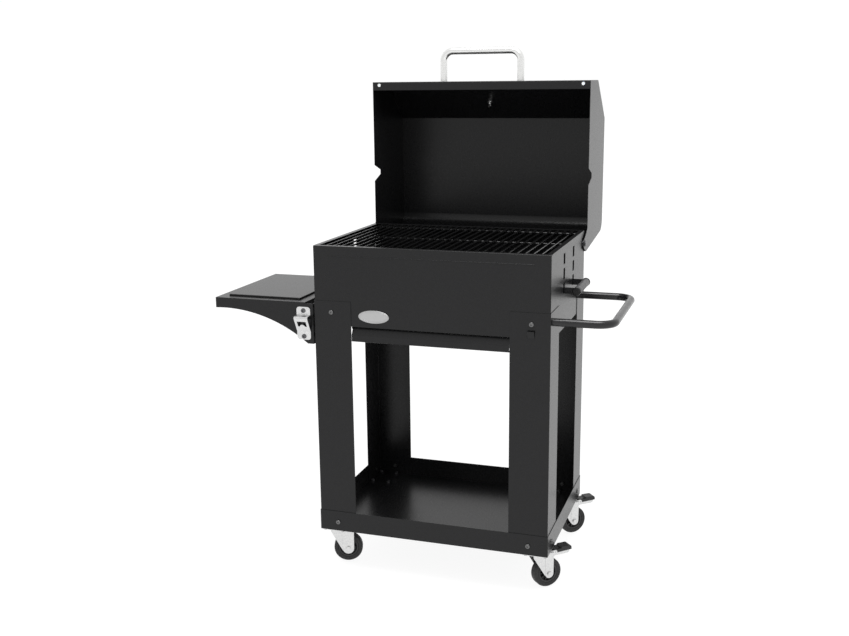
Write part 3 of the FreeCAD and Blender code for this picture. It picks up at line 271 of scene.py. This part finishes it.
def slot_materials():
    return {
        "black_powder_coat": powder_coat(),
        "gloss_black_coat": gloss_coat(),
        "black_enamel": enamel(),
        "grip_coat": grip_paint(),
        "satin_steel": satin_steel(),
        "zinc_plate": zinc(),
        "badge_metal": badge_metal(),
        "dark_fastener": dark_fastener(),
        "bright_screw": bright_screw(),
        "light_silicone": silicone(),
        "dial_face": dial_face(),
        "dial_print": dial_print(),
        "clear_glass": clear_glass(),
        "black_plastic": moulded_plastic("black_plastic", (0.006, 0.006, 0.0065), 0.36),
        "hub_plastic": moulded_plastic("hub_plastic", (0.014, 0.014, 0.015), 0.36),
        "tyre_rubber": tyre_rubber(),
    }


def dress_cad_nodes(made):
    for row in frame["record"]["subparts"]:
        node = frame["nodes"][row["node"]]
        finish = made["bright_screw" if row["node"] == "frame_screws" else row["material_slot"]]
        if not node.material_slots:
            node.data.materials.append(finish)
        for place in node.material_slots:
            place.material = finish


# ---------------------------------------------------------------- mesh helpers
def new_object(name, mesh, finish, body, node=None, bevel=0.0, smooth=False):
    """Links a finished mesh, its bevel, the body it rides on and the node it replaces."""
    thing = bpy.data.objects.new(name, mesh)
    bpy.context.scene.collection.objects.link(thing)
    mesh.materials.append(finish)
    if smooth:
        for face in mesh.polygons:
            face.use_smooth = True
    if bevel:
        edge = thing.modifiers.new("bevel", "BEVEL")
        edge.width = bevel
        edge.segments = 3
        edge.limit_method = "ANGLE"
        edge.harden_normals = True
    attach(thing, body)
    if node:
        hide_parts(node)
    return thing


def finished_mesh(name, shape, place):
    bmesh.ops.recalc_face_normals(shape, faces=shape.faces)
    shape.transform(place)
    mesh = bpy.data.meshes.new(name)
    shape.to_mesh(mesh)
    shape.free()
    return mesh


def add_plate(shape, outline, low, high):
    """An upright plate: an outline of (along, up) points, drawn out across from low to high."""
    near = [shape.verts.new((u, low, z)) for u, z in outline]
    far = [shape.verts.new((u, high, z)) for u, z in outline]
    shape.faces.new(near)
    shape.faces.new(far[::-1])
    count = len(outline)
    for i in range(count):
        j = (i + 1) % count
        shape.faces.new((near[i], far[i], far[j], near[j]))


def in_mm(points):
    return [(u * MM, z * MM) for u, z in points]


def add_loop_faces(shape, here, there):
    """Joins two equal loops of vertices with a ring of quads."""
    count = len(here)
    for i in range(count):
        j = (i + 1) % count
        shape.faces.new((here[i], here[j], there[j], there[i]))


def add_block(shape, along, across, up):
    outline = [(along[0], up[0]), (along[1], up[0]), (along[1], up[1]), (along[0], up[1])]
    add_plate(shape, outline, *across)


def add_turned(shape, profile, segments, centre=(0.0, 0.0, 0.0), axis="Y"):
    """A closed ring: a profile of (radius, along) points turned about an axis through the centre."""
    rings = []
    for k in range(segments):
        angle = 2 * math.pi * k / segments
        c, s = math.cos(angle), math.sin(angle)
        ring = []
        for radius, along in profile:
            if axis == "Y":
                point = (radius * c, along, radius * s)
            else:
                point = (radius * c, radius * s, along)
            ring.append(shape.verts.new(Vector(point) + Vector(centre)))
        rings.append(ring)
    for k in range(segments):
        add_loop_faces(shape, rings[k], rings[(k + 1) % segments])


def arc_points(centre, radius, start, end, steps):
    """Points (along, up) on an arc, in degrees."""
    points = []
    for k in range(steps + 1):
        angle = math.radians(start + (end - start) * k / steps)
        points.append((centre[0] + radius * math.cos(angle), centre[1] + radius * math.sin(angle)))
    return points


# ---------------------------------------------------------------- castors
FORK_CHEEK = (16.0 * MM, 18.2 * MM)
FORK_CROWN = (88.8 * MM, 91.0 * MM)
FORK_FRONT = -23.0 * MM
FORK_TOE = {"left": 15.0 * MM, "right": 11.5 * MM}
TOE_MARGIN = 0.4 * MM
CROWN_BOWL = ((5.2 * MM, -0.2 * MM), (21.0 * MM, -0.2 * MM), (20.0 * MM, 1.5 * MM), (5.2 * MM, 1.5 * MM))
# the fork's heights are drawn from 3 mm above the floor
LIFT = 3.0 * MM
TYRE_HALF = 12.0 * MM
TYRE_SHOULDER = 5.0 * MM
WALL_DISH = 0.9 * MM
HUB_RADIUS = 26.0 * MM
HUB_GAP = 0.1 * MM
BORE_RADIUS = 4.1 * MM
BOSS_HALF = 15.4 * MM
RIB_COUNT = 10
ARM_EAR = (13.8 * MM, 16.0 * MM)
ARM_SKIRT = (6.8 * MM, 9.0 * MM)
PEDAL_SKIRT = (9.7 * MM, 12.8 * MM)
PEDAL_PIVOT = (40.0 * MM, 0.0, 91.5 * MM)
RIDGE_COUNT = 6


def castor_frames():
    """For each castor: its name, the frame whose X is the trail, and the trail's length."""
    joints = {joint["name"]: joint for joint in frame["record"]["behaviour"]["joints"]}
    for corner in ("front_left", "front_right", "rear_left", "rear_right"):
        swivel = Vector(joints["castor_" + corner + "_swivel"]["pos_m"])
        axle = Vector(joints["wheel_" + corner + "_roll"]["pos_m"])
        trail = Vector((axle.x - swivel.x, axle.y - swivel.y, 0.0))
        turn = Matrix.Rotation(math.atan2(trail.y, trail.x), 4, "Z")
        place = Matrix.Translation((swivel.x, swivel.y, 0.0)) @ turn
        yield corner, place, trail.length, axle.z


def tyre_profile(radius):
    """A flat tread with round shoulders, and side walls that are slightly dished."""
    tread = radius - TYRE_SHOULDER
    flat = TYRE_HALF - TYRE_SHOULDER
    left = []
    for degrees in range(0, 91, 15):
        angle = math.radians(degrees)
        left.append((tread + TYRE_SHOULDER * math.sin(angle), -flat - TYRE_SHOULDER * math.cos(angle)))
    right = [(r, -along) for r, along in reversed(left)]
    wall = [(tread - 2.0 * MM, TYRE_HALF - WALL_DISH), (HUB_RADIUS + 1.5 * MM, TYRE_HALF - WALL_DISH),
            (HUB_RADIUS, TYRE_HALF - 2.0 * MM)]
    return left + right + wall + [(r, -along) for r, along in reversed(wall)]


def castor_tyre(corner, place, trail, height):
    shape = bmesh.new()
    add_turned(shape, tyre_profile(height), 96, (trail, 0.0, height))
    mesh = finished_mesh("tyre_" + corner, shape, place)
    new_object("tyre_" + corner, mesh, finishes["tyre_rubber"], "wheel_" + corner,
               "castor_tyre_" + corner, bevel=0.4 * MM, smooth=True)


def castor_hub(corner, place, trail, height):
    """A rim with a lip, a dished web with ribs, and the boss."""
    shape = bmesh.new()
    centre = (trail, 0.0, height)
    rim = HUB_RADIUS - HUB_GAP
    profile = [(rim, 10.0 * MM), (rim - 3.0 * MM, 10.8 * MM), (rim - 5.0 * MM, 9.5 * MM),
               (rim - 6.0 * MM, 4.5 * MM), (11.0 * MM, 3.0 * MM), (9.0 * MM, 5.0 * MM),
               (8.6 * MM, BOSS_HALF), (BORE_RADIUS, BOSS_HALF)]
    add_turned(shape, profile + [(r, -along) for r, along in reversed(profile)], 72, centre)
    for k in range(RIB_COUNT):
        turn = Matrix.Translation(centre) @ Matrix.Rotation(math.radians(360 / RIB_COUNT * k), 4, "Y")
        start = len(shape.verts)
        add_block(shape, (8.0 * MM, rim - 4.0 * MM), (-8.5 * MM, 8.5 * MM), (-0.8 * MM, 0.8 * MM))
        shape.verts.ensure_lookup_table()
        bmesh.ops.transform(shape, matrix=turn, verts=shape.verts[start:])
    mesh = finished_mesh("hub_" + corner, shape, place)
    new_object("hub_" + corner, mesh, finishes["hub_plastic"], "wheel_" + corner,
               "castor_hub_" + corner, bevel=0.4 * MM)


def cheek_outlines(trail, height, toe):
    """The upright band with its round toe, and the web ahead of it."""
    band_front = trail - toe
    top = FORK_CROWN[1] + LIFT
    rear = trail + toe + TOE_MARGIN
    band = [(band_front, top)] + arc_points((trail, height), toe, 180, 360, 14) + [(rear, top)]
    meet = height - 0.5 * toe
    web = [(FORK_FRONT, top), (FORK_FRONT, top - 7.0 * MM), (band_front + 0.6 * MM, meet),
           (band_front + 0.6 * MM, top)]
    return band, web


def castor_fork(corner, place, trail, height):
    """Pressed cheeks under a crown: the band stands out from the web along a crease."""
    shape = bmesh.new()
    inner, outer = FORK_CHEEK
    hand = corner.split("_")[1]
    toe = FORK_TOE[hand]
    band, web = cheek_outlines(trail, height, toe)
    for side in (-1, 1):
        add_plate(shape, band, side * inner, side * outer)
        add_plate(shape, web, side * (inner + 0.1 * MM), side * (outer - 0.9 * MM))
    low, high = (z + LIFT for z in FORK_CROWN)
    add_block(shape, (FORK_FRONT, trail + toe + TOE_MARGIN), (-outer, outer), (low, high))
    bowl = [(radius, high + up) for radius, up in CROWN_BOWL]
    add_turned(shape, bowl, 64, axis="Z")
    if hand == "right":
        add_brake_arm(shape)
    mesh = finished_mesh("fork_" + corner, shape, place)
    new_object("fork_" + corner, mesh, finishes["zinc_plate"], "castor_" + corner,
               "castor_fork_" + corner, bevel=0.7 * MM)


def add_brake_arm(shape):
    """The ears, the web between them, and the channel under the pedal with its turned-down sides."""
    inner, outer = ARM_EAR
    ear = [(22.0, 80.0), (34.0, 80.0), (45.0, 85.0), (45.0, 93.0), (42.0, 96.0), (22.0, 96.0)]
    for side in (-1, 1):
        add_plate(shape, in_mm(ear), side * inner, side * outer)
    add_block(shape, (28.0 * MM, 33.0 * MM), (-outer, outer), (80.0 * MM, 93.0 * MM))
    skirt_inner, skirt_outer = ARM_SKIRT
    add_block(shape, (31.0 * MM, 84.0 * MM), (-skirt_outer, skirt_outer), (85.8 * MM, 88.0 * MM))
    skirt = [(31.0, 79.0), (78.0, 79.0), (84.0, 82.0), (84.0, 88.0), (31.0, 88.0)]
    for side in (-1, 1):
        add_plate(shape, in_mm(skirt), side * skirt_inner, side * skirt_outer)


def brake_pedal(corner, place):
    """A low neck, then a raised foot pad with cross ridges, hollow underneath."""
    shape = bmesh.new()
    inner, outer = PEDAL_SKIRT
    toe = [(88.0, 95.0), (86.5, 98.2), (83.5, 99.6), (60.0, 99.8), (58.5, 96.0)]
    cheek = [(36.0, 87.0), (88.0, 89.0)] + toe + [(38.0, 96.0), (36.0, 94.5)]
    for across in (-1, 1):
        add_plate(shape, in_mm(cheek), across * inner, across * outer)
    underside = [(37.0, 93.6), (58.0, 93.6), (60.5, 97.0), (83.0, 97.0), (85.5, 95.0), (85.8, 89.2)]
    roof = underside + [(88.0, 89.2)] + toe + [(37.0, 96.0)]
    add_plate(shape, in_mm(roof), -inner - 0.2 * MM, inner + 0.2 * MM)
    for k in range(RIDGE_COUNT):
        start = 63.0 + 3.6 * k
        along = (start * MM, (start + 1.5) * MM)
        add_block(shape, along, (-11.6 * MM, 11.6 * MM), (99.0 * MM, 100.0 * MM))
    barrel = [(2.0, -16.0), (2.0, 16.0), (0.2, 16.0), (0.2, -16.0)]
    add_turned(shape, in_mm(barrel), 24, PEDAL_PIVOT)
    mesh = finished_mesh("pedal_" + corner, shape, place)
    new_object("pedal_" + corner, mesh, finishes["black_plastic"], "pedal_" + corner,
               "brake_pedal_" + corner, bevel=0.5 * MM)


def castors():
    for corner, place, trail, height in castor_frames():
        castor_tyre(corner, place, trail, height)
        castor_hub(corner, place, trail, height)
        castor_fork(corner, place, trail, height)
        if "right" in corner:
            brake_pedal(corner, place)


# ---------------------------------------------------------------- badge and dial
BADGE_SEGMENTS = 96
# each raised line of the badge: its inset from the edge, its width and its rise
BADGE_LINES = ((2.2 * MM, 1.1 * MM, 0.5 * MM), (5.2 * MM, 0.5 * MM, 0.3 * MM))
DIAL_FACE = 4.05 * MM
DIAL_START, DIAL_STEP, DIAL_TICKS = -120, 6, 41
LONG_TICK_EVERY = 5


def badge_rim():
    """A raised border and a smaller inner line on the blank oval plate."""
    low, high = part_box("badge_plate")
    centre = (low + high) / 2
    half_x, half_z = (high.x - low.x) / 2, (high.z - low.z) / 2
    shape = bmesh.new()
    for inset, width, rise in BADGE_LINES:
        rings = []
        for k in range(BADGE_SEGMENTS):
            angle = 2 * math.pi * k / BADGE_SEGMENTS
            c, s = math.cos(angle), math.sin(angle)
            section = []
            for across, out in ((0.0, 0.0), (0.3 * width, rise), (0.7 * width, rise), (width, 0.0)):
                reach = inset + across
                point = ((half_x - reach) * c, 0.1 * MM - out, (half_z - reach) * s)
                section.append(shape.verts.new(point))
            rings.append(section)
        for k in range(BADGE_SEGMENTS):
            add_loop_faces(shape, rings[k], rings[(k + 1) % BADGE_SEGMENTS])
    mesh = finished_mesh("badge_rim", shape, Matrix.Translation((centre.x, low.y, centre.z)))
    new_object("badge_rim", mesh, finishes["badge_metal"], "cart", smooth=True)


def dial_scale():
    """Long and short tick marks printed on the thermometer's dial."""
    joints = frame["record"]["behaviour"]["joints"]
    joint = next(j for j in joints if j["name"] == "thermometer_pointer_turn")
    outward = -Vector(joint["axis"]).normalized()
    across = Vector((1.0, 0.0, 0.0))
    up = outward.cross(across)
    turn = Matrix((across, up, outward)).transposed().to_4x4()
    place = Matrix.Translation(Vector(joint["pos_m"]) + outward * DIAL_FACE) @ turn
    shape = bmesh.new()
    for k in range(DIAL_TICKS):
        angle = math.radians(DIAL_START + DIAL_STEP * k)
        long_one = k % LONG_TICK_EVERY == 0
        inner, outer = (17.0 if long_one else 19.0) * MM, 21.5 * MM
        half = (0.45 if long_one else 0.22) * MM
        s, c = math.sin(angle), math.cos(angle)
        corners = []
        for radius, side in ((inner, -half), (inner, half), (outer, half), (outer, -half)):
            corners.append((radius * s + side * c, radius * c - side * s))
        base = [shape.verts.new((x, y, 0.0)) for x, y in corners]
        top = [shape.verts.new((x, y, 0.05 * MM)) for x, y in corners]
        shape.faces.new(base)
        shape.faces.new(top[::-1])
        for i in range(4):
            j = (i + 1) % 4
            shape.faces.new((base[i], top[i], top[j], base[j]))
    mesh = finished_mesh("dial_scale", shape, place)
    new_object("dial_scale", mesh, finishes["dial_print"], "lid")


# ---------------------------------------------------------------- stage, lights and camera
def pale_floor():
    made = new_material("pale_floor", (0.14, 0.14, 0.14), 0.8)
    glow = shader_of(made).inputs
    glow["Emission Color"].default_value = (1.0, 1.0, 1.0, 1.0)
    glow["Emission Strength"].default_value = 0.9
    vary_colour(made, noise(made, 3, 2), (0.135, 0.135, 0.135), (0.145, 0.145, 0.145))
    mesh = bpy.data.meshes.new("floor")
    shape = bmesh.new()
    bmesh.ops.create_circle(shape, cap_ends=True, segments=96, radius=FLOOR_RADIUS)
    shape.to_mesh(mesh)
    shape.free()
    floor = bpy.data.objects.new("floor", mesh)
    floor.location.z = CAD_BOX[0].z - FLOOR_DROP
    mesh.materials.append(made)
    bpy.context.scene.collection.objects.link(floor)


def soft_light(name, place, target, size, watts):
    data = bpy.data.lights.new(name, "AREA")
    data.shape = "RECTANGLE"
    data.size, data.size_y = size
    data.energy = watts
    light = bpy.data.objects.new(name, data)
    light.location = place
    light.rotation_euler = (Vector(target) - Vector(place)).to_track_quat("-Z", "Y").to_euler()
    bpy.context.scene.collection.objects.link(light)


def studio():
    """A white room, a little dimmer in front, with one large soft light above."""
    world = bpy.data.worlds.new("studio")
    bpy.context.scene.world = world
    world.use_nodes = True
    nodes, links = world.node_tree.nodes, world.node_tree.links
    coords = nodes.new("ShaderNodeTexCoord")
    split = nodes.new("ShaderNodeSeparateXYZ")
    ramp = nodes.new("ShaderNodeMapRange")
    ramp.inputs["From Min"].default_value = -1.0
    ramp.inputs["From Max"].default_value = 0.3
    ramp.inputs["To Min"].default_value = 0.85
    ramp.inputs["To Max"].default_value = 1.02
    links.new(coords.outputs["Generated"], split.inputs["Vector"])
    links.new(split.outputs["Y"], ramp.inputs["Value"])
    links.new(ramp.outputs["Result"], nodes["Background"].inputs["Strength"])
    nodes["Background"].inputs["Color"].default_value = (1.0, 1.0, 1.0, 1.0)
    centre = (CAD_BOX[0] + CAD_BOX[1]) / 2
    soft_light("top_light", centre + Vector(LIGHT_OFFSET), centre, LIGHT_SIZE, LIGHT_WATTS)


def photo_camera():
    """The viewing angle: to the right of the grill's front and a little above its lid."""
    low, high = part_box("storage_tray")
    eye = Vector(((low.x + high.x) / 2, (low.y + high.y) / 2, low.z)) + Vector(EYE_OFFSET)
    flat = math.cos(EYE_PITCH)
    forward = Vector((-math.sin(EYE_YAW) * flat, math.cos(EYE_YAW) * flat, -math.sin(EYE_PITCH)))
    level = Vector((math.cos(EYE_YAW), math.sin(EYE_YAW), 0.0))
    upward = level.cross(forward)
    right = level * math.cos(EYE_ROLL) + upward * math.sin(EYE_ROLL)
    up = upward * math.cos(EYE_ROLL) - level * math.sin(EYE_ROLL)
    data = bpy.data.cameras.new("camera")
    data.sensor_width = SENSOR_WIDTH
    data.lens = LENS
    camera = bpy.data.objects.new("camera", data)
    camera.matrix_world = Matrix((right, up, -forward)).transposed().to_4x4()
    camera.matrix_world.translation = eye
    bpy.context.scene.collection.objects.link(camera)
    bpy.context.scene.camera = camera


finishes = slot_materials()
dress_cad_nodes(finishes)
castors()
badge_rim()
dial_scale()
pale_floor()
studio()
photo_camera()
bpy.context.scene.view_settings.view_transform = "Standard"
